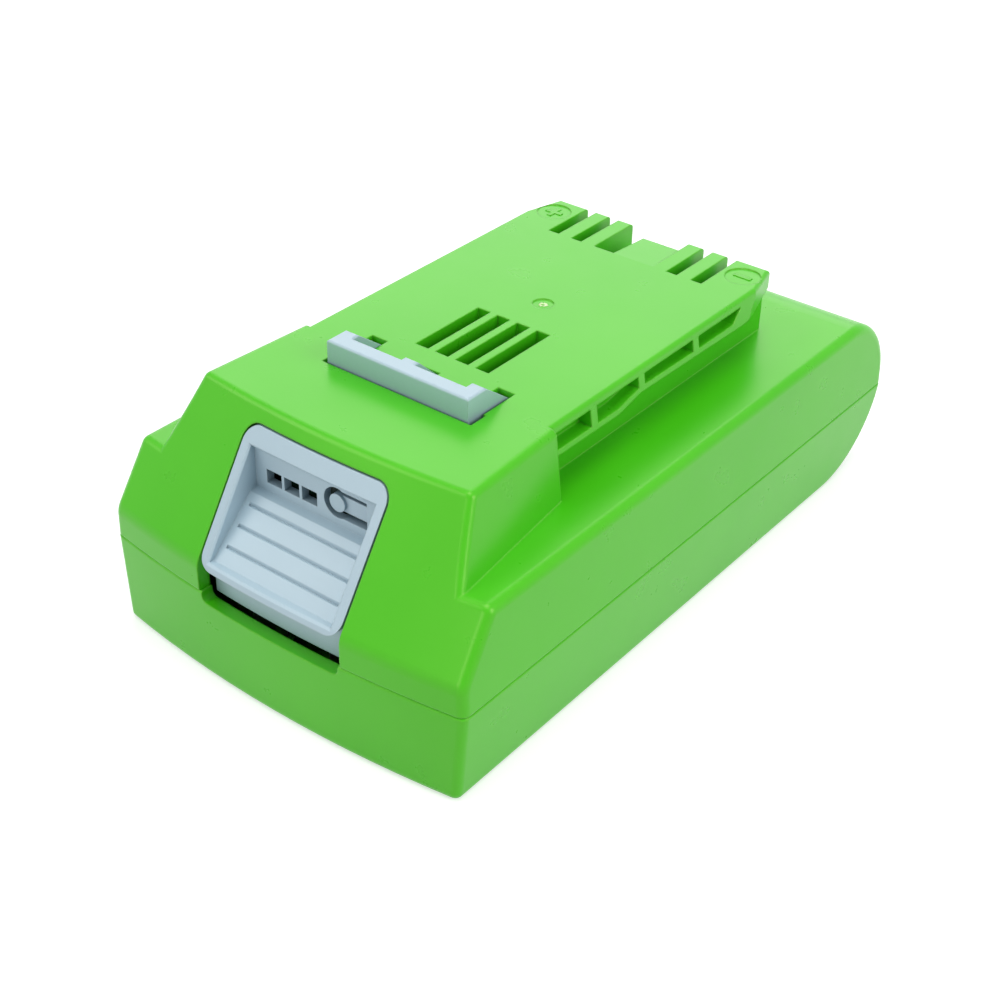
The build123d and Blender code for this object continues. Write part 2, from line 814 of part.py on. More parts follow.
# Lower housing: a tub with screw bosses, spring cups and the notch under the button
with BuildPart() as lower_housing:
    add(lower_block(0, 0, floor_edge_radius))
    add(lower_cavity.part, mode=Mode.SUBTRACT)
    cup_top_z = spring_foot_z + spring_cup_depth
    spring_places = [(-spring_x, spring_y), (spring_x, spring_y)]
    with BuildSketch(Plane.XY.offset(wall / 2)):
        with Locations(*spring_places):
            Circle(spring_cup_radius)
    extrude(amount=cup_top_z - wall / 2)
    with BuildSketch(Plane.XY.offset(spring_foot_z)):
        with Locations(*spring_places):
            Circle(spring_cup_bore)
            Circle(spring_peg_radius, mode=Mode.SUBTRACT)
    extrude(amount=spring_cup_depth, mode=Mode.SUBTRACT)
    with BuildSketch(Plane.XZ.offset(-front_y - 2 * wall)) as notch:
        with Locations((0, (notch_low_z + parting_height + wall) / 2)):
            Rectangle(2 * notch_half_width, parting_height + wall - notch_low_z)
        fillet(notch.vertices().group_by(Axis.Y)[0], notch_corner_radius)
    extrude(amount=overrun, mode=Mode.SUBTRACT)
    with BuildSketch(Plane.XY):
        with Locations(*screw_places):
            Circle(screw_head_radius + running_gap)
    extrude(amount=screw_seat_z, mode=Mode.SUBTRACT)
    with BuildSketch(Plane.XY.offset(screw_seat_z)):
        with Locations(*screw_places):
            Circle(screw_shank_radius + fit_gap)
    extrude(amount=parting_height - screw_seat_z, mode=Mode.SUBTRACT)

finish(lower_housing, "lower_housing")

# Case screws, pan heads with a cross drive, put in from below
with BuildPart() as case_screws:
    with BuildSketch(Plane.XY.offset(screw_seat_z - screw_head_height)):
        with Locations(*screw_places):
            Circle(screw_head_radius)
    extrude(amount=screw_head_height)
    with BuildSketch(Plane.XY.offset(screw_seat_z)):
        with Locations(*screw_places):
            Circle(screw_shank_radius)
    extrude(amount=screw_tip_z - screw_seat_z)
    with BuildSketch(Plane.XY.offset(screw_seat_z - screw_head_height)):
        with Locations(*screw_places):
            Rectangle(screw_head_radius, screw_drive_width)
            Rectangle(screw_drive_width, screw_head_radius)
    extrude(amount=screw_drive_depth, mode=Mode.SUBTRACT)

finish(case_screws, "case_screws")


def scoop_floor_z(y):
    """Height of the thumb scoop's slanted floor."""
    share = (y - scoop_lip_y) / (scoop_step_y - scoop_lip_y)
    return scoop_lip_z + share * (scoop_step_z - scoop_lip_z)


# Space under the scoop's floor, behind the button, with the two spring posts left
scoop_slope = (scoop_step_z - scoop_lip_z) / (scoop_step_y - scoop_lip_y)
shell_drop = scoop_shell * math.sqrt(1 + scoop_slope ** 2)
with BuildPart() as button_hollow:
    with BuildSketch(Plane.YZ):
        hollow_low_z = button_low_z - wall
        hollow_front_y = scoop_lip_y + (hollow_low_z + shell_drop - scoop_lip_z) / scoop_slope
        with BuildLine():
            Polyline(
                (hollow_front_y, hollow_low_z),
                (scoop_step_y, scoop_step_z - shell_drop),
                (button_back_y + wall, scoop_step_z - shell_drop),
                (button_back_y + wall, hollow_low_z),
                close=True,
            )
        make_face()
    extrude(amount=button_half_width - button_wall, both=True)
    with BuildSketch(Plane.XY.offset(spring_seat_z)):
        with Locations((-spring_x, spring_y), (spring_x, spring_y)):
            Circle(spring_post_radius)
    extrude(amount=overrun, mode=Mode.SUBTRACT)

# Skirt under the button, which closes the notch from inside
with BuildPart() as button_skirt:
    skirt_rear_y = front_y + skirt_inset + skirt_thickness
    with BuildSketch(Plane.XZ.offset(-skirt_rear_y)):
        with Locations((0, (skirt_low_z + button_low_z + skirt_root) / 2)):
            Rectangle(2 * skirt_half_width, button_low_z + skirt_root - skirt_low_z)
    extrude(amount=overrun / 2)
    add(front_waste(skirt_inset), mode=Mode.SUBTRACT)

# Latch: one moulding of the button with its thumb scoop, two rails and the hook
with BuildPart() as latch:
    latch_top_z = deck_under_z - running_gap
    with BuildSketch(Plane.XZ.offset(-button_back_y)) as button_outline:
        with Locations((0, (button_low_z + latch_top_z) / 2)):
            Rectangle(2 * button_half_width, latch_top_z - button_low_z)
        fillet(button_outline.vertices(), button_corner_radius)
    extrude(amount=overrun)
    add(front_waste(0), mode=Mode.SUBTRACT)
    with BuildSketch(Plane.YZ):
        mouth_y = front_y - wall
        panel_y = button_back_y - panel_thickness
        with BuildLine():
            Polyline(
                (mouth_y, scoop_lip_z),
                (scoop_lip_y, scoop_lip_z),
                (scoop_step_y, scoop_step_z),
                (panel_y, panel_low_z),
                (panel_y, panel_top_z),
                (mouth_y, scoop_top_z + (panel_y - mouth_y) * (scoop_top_z - panel_top_z) / wall),
                close=True,
            )
        make_face()
    extrude(amount=scoop_half_width, both=True, mode=Mode.SUBTRACT)
    rim = latch.edges().filter_by(
        lambda e: e.geom_type != GeomType.LINE
        and abs(e.center().X) < scoop_half_width + fit_gap
        and e.center().Y < front_y + front_lean_share * max(e.center().Z - crease_height, 0) + wall / 2
        and button_low_z + fit_gap < e.center().Z < latch_top_z - wall
    )
    chamfer(rim, scoop_edge)
    add(button_hollow.part, mode=Mode.SUBTRACT)
    add(button_skirt.part)

    # grip grooves across the scoop's floor
    for i in range(groove_count):
        groove_y = groove_start_y - i * groove_spacing
        with BuildSketch(Plane.YZ):
            with BuildLine():
                Polyline(
                    (groove_y - groove_width / 2, scoop_floor_z(groove_y) - groove_width / 2),
                    (groove_y + groove_depth / 2, scoop_floor_z(groove_y) - groove_depth),
                    (groove_y + groove_width / 2, scoop_floor_z(groove_y) + groove_width / 2),
                    (groove_y - groove_width, scoop_floor_z(groove_y) + groove_width),
                    close=True,
                )
            make_face()
        extrude(amount=scoop_half_width - groove_margin, both=True, mode=Mode.SUBTRACT)

    # pegs that centre the springs
    with BuildSketch(Plane.XY.offset(spring_seat_z)):
        with Locations((-spring_x, spring_y), (spring_x, spring_y)):
            Circle(spring_peg_radius)
    extrude(amount=-spring_peg_length)

    # side rails under the deck, rising into the hook's arms
    rail_neck_y = button_back_y + wall + running_gap
    rail_neck_z = latch_top_z - button_corner_radius - running_gap
    arm_fall_z = hook_height - hook_arm_fall_share * (hook_arm_rear_y - hook_arm_top_y)
    for side in (-1, 1):
        with BuildSketch(Plane.YZ.offset(side * latch_rail_inner_x)):
            with BuildLine():
                Polyline(
                    (button_back_y - panel_thickness / 2, latch_rail_low_z),
                    (hook_arm_rear_y, latch_rail_low_z),
                    (hook_arm_rear_y, arm_fall_z),
                    (hook_arm_top_y, hook_height),
                    (hook_front_y, hook_height),
                    (hook_front_y, latch_top_z),
                    (rail_neck_y, latch_top_z),
                    (rail_neck_y, rail_neck_z),
                    (button_back_y - panel_thickness / 2, rail_neck_z),
                    close=True,
                )
            make_face()
        extrude(amount=side * (latch_rail_outer_x - latch_rail_inner_x))

    # hook bar and its middle rib
    with BuildSketch(Plane.XY.offset(hook_low_z)):
        with Locations((0, (hook_front_y + hook_rear_y) / 2)):
            Rectangle(2 * latch_rail_outer_x, hook_rear_y - hook_front_y)
    extrude(amount=hook_height - hook_low_z)
    rib_fall_z = hook_height - hook_rib_fall_share * (hook_rib_rear_y - hook_rib_top_y)
    with BuildSketch(Plane.YZ):
        with BuildLine():
            Polyline(
                (hook_front_y, hook_low_z),
                (hook_rib_rear_y, hook_low_z),
                (hook_rib_rear_y, rib_fall_z),
                (hook_rib_top_y, hook_height),
                (hook_front_y, hook_height),
                close=True,
            )
        make_face()
    extrude(amount=hook_rib_half_width, both=True)
    hook_top = latch.faces().sort_by(Axis.Z)[-1]
    fillet(hook_top.edges(), hook_edge_radius)

    # charge windows and the keyhole for the test tongue, through the panel
    with BuildSketch(Plane.XZ.offset(-button_back_y)):
        with Locations((window_x, window_z)):
            with GridLocations(window_spacing, window_spacing, window_count, 1):
                Rectangle(window_width, window_height)
        with Locations((keyhole_x, keyhole_z)):
            Circle(keyhole_radius)
        with Locations(((keyhole_x + keyhole_end_x) / 2, keyhole_z)):
            Rectangle(keyhole_end_x - keyhole_x, 2 * keyhole_slot_half_height)
    extrude(amount=panel_thickness, mode=Mode.SUBTRACT)

finish(latch, "latch")

# Test tongue: a round pad on a springy arm, set in the keyhole and rooted at its far end
with BuildPart() as test_button:
    tongue_root_x = keyhole_end_x - tongue_root_gap
    with BuildSketch(Plane.XZ.offset(-button_back_y)):
        with Locations((keyhole_x, keyhole_z)):
            Circle(tongue_pad_radius)
    extrude(amount=panel_thickness)
    with BuildSketch(Plane.XZ.offset(-button_back_y)):
        with Locations(((keyhole_x + tongue_root_x) / 2, keyhole_z)):
            Rectangle(tongue_root_x - keyhole_x, 2 * tongue_half_height)
    extrude(amount=panel_thickness - tongue_recess)

finish(test_button, "test_button")


def latch_spring(x, label):
    """A latch spring as a sleeve of the coil's size, from its cup up to the post."""
    with BuildPart() as spring:
        with BuildSketch(Plane.XY.offset(spring_foot_z)):
            with Locations((x, spring_y)):
                Circle(spring_mean_radius + spring_wire / 2)
                Circle(spring_mean_radius - spring_wire / 2, mode=Mode.SUBTRACT)
        extrude(amount=spring_seat_z - spring_foot_z)
    finish(spring, label)


latch_spring(-spring_x, "latch_spring_left")
latch_spring(spring_x, "latch_spring_right")


def cell(place_y, cap_side, label):
    """A cylindrical cell lying across the pack, its cap towards cap_side."""
    body_end = cell_length / 2 - cell_cap_height
    crimp_x = body_end - cell_crimp_offset
    base = Plane(origin=(0, place_y, cell_axis_z), x_dir=(cap_side, 0, 0), z_dir=(0, -cap_side, 0))
    with BuildPart() as body:
        with BuildSketch(base):
            with BuildLine():
                Polyline(
                    (-cell_length / 2, 0),
                    (-cell_length / 2, cell_radius),
                    (crimp_x - cell_crimp_width, cell_radius),
                    (crimp_x - cell_crimp_width / 2, cell_radius - cell_crimp_depth),
                    (crimp_x, cell_radius),
                    (body_end, cell_radius),
                    (body_end, cell_cap_radius),
                    (cell_length / 2, cell_cap_radius),
                    (cell_length / 2, 0),
                    close=True,
                )
            make_face()
        revolve(axis=Axis((0, place_y, cell_axis_z), (1, 0, 0)))
    finish(body, label)


for i, place_y in enumerate(cell_places):
    cell(place_y, -1 if i % 2 == 0 else 1, "cell_" + str(i + 1))


def cell_holder(side, label):
    """A moulded holder round the cell ends, with posts that carry the main board."""
    with BuildPart() as holder:
        with BuildSketch(Plane.YZ.offset(side * cell_length / 2)):
            with Locations((cell_row_y, cell_axis_z)):
                SlotCenterToCenter(cell_row_length, 2 * cell_holder_radius)
                with GridLocations(cell_spacing, cell_spacing, cell_count, 1):
                    Circle(cell_radius + fit_gap, mode=Mode.SUBTRACT)
        extrude(amount=-side * holder_depth)
        post_x = side * (cell_length / 2 - holder_depth + board_post_radius)
        with BuildSketch(Plane.XY.offset(holder_top_z - holder_wall / 2)):
            with Locations((post_x, cell_places[1]), (post_x, cell_places[-2])):
                Circle(board_post_radius)
        extrude(amount=board_stand + holder_wall / 2)
    finish(holder, label)


cell_holder(-1, "cell_holder_left")
cell_holder(1, "cell_holder_right")


def nickel_strips(side, first, label):
    """Welded strips that join neighbouring cells in pairs, starting at the cell first."""
    with BuildPart() as strips:
        pair_places = [(a + b) / 2 for a, b in zip(cell_places[first::2], cell_places[first + 1::2])]
        with BuildSketch(Plane.YZ.offset(side * cell_length / 2)):
            with Locations(*[(y, cell_axis_z) for y in pair_places]):
                SlotCenterToCenter(cell_spacing, strip_width)
                Rectangle(cell_spacing / 2, strip_slit_width, mode=Mode.SUBTRACT)
        extrude(amount=side * strip_thickness)
    finish(strips, label)


nickel_strips(-1, 1, "nickel_strips_left")
nickel_strips(1, 0, "nickel_strips_right")


def cell_lead(side, place_y, label):
    """The tab from an end cell, bent over the edge of the main board."""
    face_x = cell_length / 2
    with BuildPart() as lead:
        with BuildSketch(Plane.XZ.offset(-place_y)):
            with BuildLine():
                Polyline(
                    (side * face_x, cell_axis_z - strip_width / 2),
                    (side * (face_x + strip_thickness), cell_axis_z - strip_width / 2),
                    (side * (face_x + strip_thickness), board_top_z + strip_thickness),
                    (side * (face_x - lead_reach), board_top_z + strip_thickness),
                    (side * (face_x - lead_reach), board_top_z),
                    (side * face_x, board_top_z),
                    close=True,
                )
            make_face()
        extrude(amount=lead_width / 2, both=True)
    finish(lead, label)


cell_lead(-1, cell_places[0], "cell_lead_positive")
cell_lead(1, cell_places[-1], "cell_lead_negative")


def insulator(side, label):
    """Insulating sheet over the strips at one end of the cells."""
    with BuildPart() as sheet:
        with BuildSketch(Plane.YZ.offset(side * (cell_length / 2 + strip_thickness))):
            with Locations((cell_row_y, cell_axis_z)):
                SlotCenterToCenter(cell_row_length + insulator_end, 2 * insulator_half_height)
        extrude(amount=side * insulator_thickness)
    finish(sheet, label)


insulator(-1, "end_insulator_left")
insulator(1, "end_insulator_right")

# Main circuit board on the holders' posts
with BuildPart() as main_board:
    with BuildSketch(Plane.XY.offset(board_bottom_z)):
        with Locations((0, (board_front_y + board_rear_y) / 2)):
            RectangleRounded(2 * board_half_width, board_rear_y - board_front_y, board_corner_radius)
    extrude(amount=board_thickness)

finish(main_board, "main_board")

# Power transistors, each a body with its solder tab
with BuildPart() as power_transistors:
    with BuildSketch(Plane.XY.offset(board_top_z)):
        with Locations((0, transistor_y)):
            with GridLocations(transistor_spacing, transistor_spacing, transistor_count, 1):
                Rectangle(transistor_width, transistor_length)
    extrude(amount=transistor_height)
    with BuildSketch(Plane.XY.offset(board_top_z)):
        with Locations((0, transistor_y - (transistor_length + transistor_tab_length) / 2)):
            with GridLocations(transistor_spacing, transistor_spacing, transistor_count, 1):
                Rectangle(transistor_width - 2 * transistor_tab_height, transistor_tab_length)
    extrude(amount=transistor_tab_height)

finish(power_transistors, "power_transistors")


def board_block(x, y, width, length, height, label):
    """A component body standing on the main board."""
    with BuildPart() as block:
        with BuildSketch(Plane.XY.offset(board_top_z)):
            with Locations((x, y)):
                Rectangle(width, length)
        extrude(amount=height)
        chamfer(block.edges().group_by(Axis.Z)[-1], height / 8)
    finish(block, label)


board_block(chip_x, chip_y, chip_size, chip_size, chip_height, "controller_chip")
board_block(shunt_x, chip_y, shunt_length, shunt_width, shunt_height, "shunt_resistor")

# Fuse: a square body between two end caps
with BuildPart() as fuse:
    with BuildSketch(Plane.YZ.offset(-fuse_length / 2)):
        with Locations((fuse_y, board_top_z + fuse_height / 2)):
            Rectangle(fuse_width, fuse_height)
    extrude(amount=fuse_cap_length)
    with BuildSketch(Plane.YZ.offset(fuse_length / 2)):
        with Locations((fuse_y, board_top_z + fuse_height / 2)):
            Rectangle(fuse_width, fuse_height)
    extrude(amount=-fuse_cap_length)
    with BuildSketch(Plane.YZ):
        with Locations((fuse_y, board_top_z + fuse_height / 2)):
            Rectangle(fuse_width - 2 * fit_gap, fuse_height - 2 * fit_gap)
    extrude(amount=fuse_length / 2 - fuse_cap_length / 2, both=True)

finish(fuse, "fuse")

# Right-angle header that holds the indicator board upright
with BuildPart() as board_header:
    with BuildSketch(Plane.XY.offset(board_top_z)):
        with Locations((0, indicator_rear_y + header_depth / 2)):
            Rectangle(2 * header_half_width, header_depth)
    extrude(amount=header_height)

finish(board_header, "board_header")

# Indicator board behind the scoop's panel
with BuildPart() as indicator_board:
    with BuildSketch(Plane.XZ.offset(-indicator_rear_y)):
        with Locations((0, (board_top_z + indicator_top_z) / 2)):
            Rectangle(2 * indicator_half_width, indicator_top_z - board_top_z)
    extrude(amount=board_thickness)

finish(indicator_board, "indicator_board")

for i in range(window_count):
    lamp_x = window_x + (i - (window_count - 1) / 2) * window_spacing
    with BuildPart() as charge_lamp:
        with BuildSketch(Plane.XZ.offset(-indicator_front_y)):
            with Locations((lamp_x, window_z)):
                Rectangle(lamp_width, lamp_height)
        extrude(amount=lamp_depth)
        fillet(charge_lamp.edges().group_by(Axis.Y)[0], lamp_depth / 4)
    finish(charge_lamp, "charge_lamp_" + str(i + 1))

# Test switch behind the tongue's pad, with its plunger standing out
with BuildPart() as test_switch:
    switch_face_y = indicator_front_y - switch_depth
    with BuildSketch(Plane.XZ.offset(-indicator_front_y)):
        with Locations((keyhole_x, keyhole_z)):
            Rectangle(2 * switch_half_width, 2 * switch_half_height)
    extrude(amount=switch_depth)
    with BuildSketch(Plane.XZ.offset(-switch_face_y)):
        with Locations((keyhole_x, keyhole_z)):
            Circle(plunger_radius)
    extrude(amount=plunger_reach)

finish(test_switch, "test_switch")

# Thermistor bead lying in the valley between two cells, its legs up to the board
with BuildPart() as thermistor:
    bead_y = (cell_places[-2] + cell_places[-3]) / 2
    bead_reach = cell_radius + thermistor_radius + fit_gap
    bead_z = cell_axis_z + math.sqrt(bead_reach ** 2 - (cell_spacing / 2) ** 2)
    with BuildSketch(Plane.YZ.offset(-thermistor_length / 2)):
        with Locations((bead_y, bead_z)):
            Circle(thermistor_radius)
    extrude(amount=thermistor_length)
    chamfer(thermistor.edges().filter_by(GeomType.CIRCLE), thermistor_radius / 2)
    with BuildSketch(Plane.XY.offset(bead_z)):
        with Locations((0, bead_y)):
            with GridLocations(thermistor_length / 2, thermistor_length, 2, 1):
                Circle(thermistor_leg_radius)
    extrude(amount=board_bottom_z - bead_z)

finish(thermistor, "thermistor")

# Contact carrier on the board: a base with partitions between the contacts
with BuildPart() as contact_carrier:
    carrier_mid_y = (carrier_front_y + carrier_rear_y) / 2
    carrier_length = carrier_rear_y - carrier_front_y
    between_x = (power_blade_x + signal_blade_x) / 2
    with BuildSketch(Plane.XY.offset(board_top_z)):
        with Locations((0, carrier_mid_y)):
            Rectangle(2 * carrier_edge_x + carrier_partition, carrier_length)
        with Locations(*[(x, contact_closed_y + contact_sheet / 2) for x in blade_places]):
            Rectangle(
                2 * (contact_leg_half_width + fit_gap), contact_sheet + 2 * fit_gap, mode=Mode.SUBTRACT
            )
    extrude(amount=carrier_base_z - board_top_z)
    with BuildSketch(Plane.XY.offset(carrier_base_z)):
        for x in (carrier_edge_x, between_x, carrier_inner_x):
            with Locations((-x, carrier_mid_y), (x, carrier_mid_y)):
                Rectangle(carrier_partition, carrier_length)
    extrude(amount=carrier_partition_height)

finish(contact_carrier, "contact_carrier")


def contact(x, label):
    """A two-leaf spring contact, bent from one sheet, with a leg down to the board."""
    with BuildPart() as leaf:
        half_sheet = contact_sheet / 2
        with BuildSketch(Plane.XY.offset(carrier_base_z)):
            with BuildLine() as sheet_line:
                Polyline(
                    (x - contact_mouth_half, contact_mouth_y),
                    (x - contact_pinch_half - half_sheet, contact_pinch_y),
                    (x - contact_bulge_half, contact_bulge_y),
                    (x - contact_bulge_half, contact_closed_y + half_sheet),
                    (x + contact_bulge_half, contact_closed_y + half_sheet),
                    (x + contact_bulge_half, contact_bulge_y),
                    (x + contact_pinch_half + half_sheet, contact_pinch_y),
                    (x + contact_mouth_half, contact_mouth_y),
                )
            trace(line_width=contact_sheet)
        extrude(amount=contact_height)
        with BuildSketch(Plane.XY.offset(board_top_z)):
            with Locations((x, contact_closed_y + half_sheet)):
                Rectangle(2 * contact_leg_half_width, contact_sheet)
        extrude(amount=carrier_base_z + contact_sheet - board_top_z)
    finish(leaf, label)


contact(-power_blade_x, "contact_positive")
contact(power_blade_x, "contact_negative")
contact(-signal_blade_x, "contact_signal_left")
contact(signal_blade_x, "contact_signal_right")

print("spring rest length", spring_seat_z - spring_foot_z)
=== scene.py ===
import json
import math

import bmesh
import bpy
from mathutils import Matrix, Vector


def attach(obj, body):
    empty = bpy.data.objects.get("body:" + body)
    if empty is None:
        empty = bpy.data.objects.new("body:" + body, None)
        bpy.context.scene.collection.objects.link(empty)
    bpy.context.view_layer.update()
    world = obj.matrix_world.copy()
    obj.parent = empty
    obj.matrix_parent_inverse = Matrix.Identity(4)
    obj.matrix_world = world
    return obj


# Battery pack for a cordless power tool: looks, small moulded signs, camera and light
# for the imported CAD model. Metres, in the CAD frame.

MM = 0.001

# Camera, fitted to the photograph's straight edges
CAMERA_PLACE = (0.14869, -0.20012, 0.17593)
CAMERA_AZIMUTH = 37.46
CAMERA_ELEVATION = 34.18
CAMERA_ROLL = 1.27
CAMERA_LENS = 62.4
CAMERA_SENSOR = 36.0
CAMERA_CLIP = 10 * MM

# Light of the surround on the pack, and soft lamps: name, place, side of the square, watts
WORLD_LIGHT = 0.18
LAMP_AIM = (0.0, 0.0, 0.02)
LAMPS = (
    ("back_softbox", (-0.62, 0.80, 0.70), 1.00, 3.8),
    ("top_softbox", (0.08, -0.02, 1.35), 0.85, 8.7),
    ("left_softbox", (-0.80, -0.80, 0.90), 0.80, 5.0),
    ("front_softbox", (0.05, -1.35, 0.40), 0.60, 3.0),
    ("right_softbox", (1.16, 0.18, 0.64), 0.75, 7.4),
)

# Floor, and its glow where it is seen: near the pack, from far off, and where it changes over
FLOOR_REACH = 6.0
FLOOR_LIFT = 0.58
FLOOR_FAR_LIFT = 1.0
FLOOR_NEAR = 0.35
FLOOR_FAR = 2.2
FLOOR_ROUGHNESS = 0.9

# Moulded signs in the round recesses of the deck
SIGN_X = 19.9 * MM
SIGN_Y = 34.1 * MM
SIGN_FLOOR_Z = 43.1 * MM
SIGN_HEIGHT = 0.12 * MM
SIGN_ARM = 1.7 * MM
SIGN_STROKE = 0.95 * MM

# Moulding gate's broken-off stub, in the dimple behind the vents. A ripple is size, waves, turn.
GATE_PLACE = (0.0, 4.4 * MM, 43.1 * MM)
GATE_RADIUS = 0.75 * MM
GATE_HEIGHT = 0.28 * MM
GATE_RINGS = 5
GATE_SIDES = 20
GATE_BULGE = 0.6
GATE_WIDE_RIPPLE = (0.16, 3, 1.1)
GATE_FINE_RIPPLE = (0.09, 7, 0.0)
GATE_TWIST = 4
GATE_BREAK = (0.35, 2, 0.6)
GATE_TIP = (0.1 * GATE_RADIUS, -0.1 * GATE_RADIUS, 0.8 * GATE_HEIGHT)
GATE_ROUGHNESS = 0.30
GATE_CLOUD_SCALE = 2500

# Moulded plastic: noise scales per metre, shares of the noise where the tones start,
# shares of open sky where the painted shade in corners is full and where it ends, and the sheen
FLOW_SCALE = 28.0
GRAIN_SCALE = 1700.0
GRAIN_STRENGTH = 0.35
PATCH_SCALE = 160.0
TONE_START = 0.35
TONE_FULL = 0.65
CORNER_SHADE_FULL = 0.0
CORNER_SHADE_NONE = 0.75
SHEEN_SPREAD = 0.05
SPECULAR = 0.55
SAMPLES = 6

# Painted highlight along edges: how far the eased normal has turned where the highlight starts and is
# full, and how strong it is
EDGE_START = 0.985
EDGE_FULL = 0.80
EDGE_HIGHLIGHT_STRENGTH = 1.1

# Small metal and coated parts
METAL_SCALE = 900.0
METAL_DARK = 0.8
METAL_TONES = (0.3, 0.7)
METAL_SHEEN_SPREAD = (0.06, 0.1)
SMALL_GRAIN = 0.02 * MM
METAL_STRENGTH = 0.2
METAL_EDGE = 0.08 * MM
COAT_SHEEN_SPREAD = (0.05, 0.08)
COAT_STRENGTH = 0.3
COAT_EDGE = 0.1 * MM

# Colours, linear
GREEN = (0.066, 0.560, 0.010, 1.0)
GREEN_DEEP = (0.056, 0.530, 0.007, 1.0)
# Painted highlight along the edges of the green case
GREEN_EDGE_HIGHLIGHT = (0.180, 0.700, 0.060, 1.0)
# Painted shade in the corners and recesses of the green case
GREEN_CORNER_SHADE = (0.86, 0.90, 0.80, 1.0)
GREEN_PALE = (0.52, 0.80, 0.26, 1.0)
STRESSED = (0.86, 0.92, 0.66, 1.0)
LATCH = (0.470, 0.612, 0.690, 1.0)
LATCH_DEEP = (0.452, 0.594, 0.672, 1.0)
# Painted highlight along the edges of the latch
LATCH_EDGE_HIGHLIGHT = (0.640, 0.760, 0.810, 1.0)
# Painted shade in the corners and recesses of the latch
LATCH_CORNER_SHADE = (0.34, 0.42, 0.46, 1.0)
WARM_GLOSS = (1.0, 1.0, 0.52, 1.0)
WHITE = (1.0, 1.0, 1.0, 1.0)
FLOOR = (0.66, 0.66, 0.66, 1.0)

# Mouldings: slot, look, tones, gloss, roughness, grain depth, eased edge, reach of the painted shade in
# corners
GREENS = (GREEN, GREEN_DEEP, GREEN_EDGE_HIGHLIGHT, GREEN_CORNER_SHADE)
GREYS = (LATCH, LATCH_DEEP, LATCH_EDGE_HIGHLIGHT, LATCH_CORNER_SHADE)
MOULDINGS = (
    ("case_green", "case_green_look", GREENS, WARM_GLOSS, 0.29, 0.007 * MM, 0.4 * MM, 1.2 * MM),
    ("latch_grey", "latch_grey_look", GREYS, WHITE, 0.36, 0.005 * MM, 0.2 * MM, 8 * MM),
)

# Metals: slot, look, colour, roughness, stretch of the grain
METALS = (
    ("screw_steel", "screw_steel_look", (0.32, 0.32, 0.33, 1.0), 0.35, 1.0),
    ("spring_steel", "spring_steel_look", (0.55, 0.55, 0.56, 1.0), 0.28, 0.2),
    ("nickel", "nickel_look", (0.62, 0.61, 0.58, 1.0), 0.30, 0.1),
    ("contact_copper", "contact_copper_look", (0.85, 0.52, 0.30, 1.0), 0.30, 0.2),
)

# Coated parts: slot, look, two tones, roughness, scale of the cloud
COATS = (
    ("holder_black", "holder_black_look", (0.030, 0.030, 0.032, 1), (0.022, 0.022, 0.024, 1), 0.5, 300),
    ("component_black", "component_look", (0.022, 0.022, 0.022, 1), (0.016, 0.016, 0.016, 1), 0.45, 500),
    ("circuit_board", "circuit_board_look", (0.006, 0.050, 0.024, 1), (0.004, 0.038, 0.018, 1), 0.3, 250),
    ("insulator_paper", "insulator_look", (0.76, 0.74, 0.64, 1), (0.70, 0.68, 0.58, 1), 0.7, 400),
    ("fuse_body", "fuse_look", (0.78, 0.78, 0.74, 1), (0.70, 0.70, 0.66, 1), 0.3, 300),
    ("cell_wrap", "cell_wrap_look", (0.10, 0.28, 0.50, 1), (0.08, 0.24, 0.45, 1), 0.25, 200),
    ("lamp_lens", "lamp_lens_look", (0.045, 0.050, 0.048, 1), (0.030, 0.034, 0.032, 1), 0.15, 400),
)


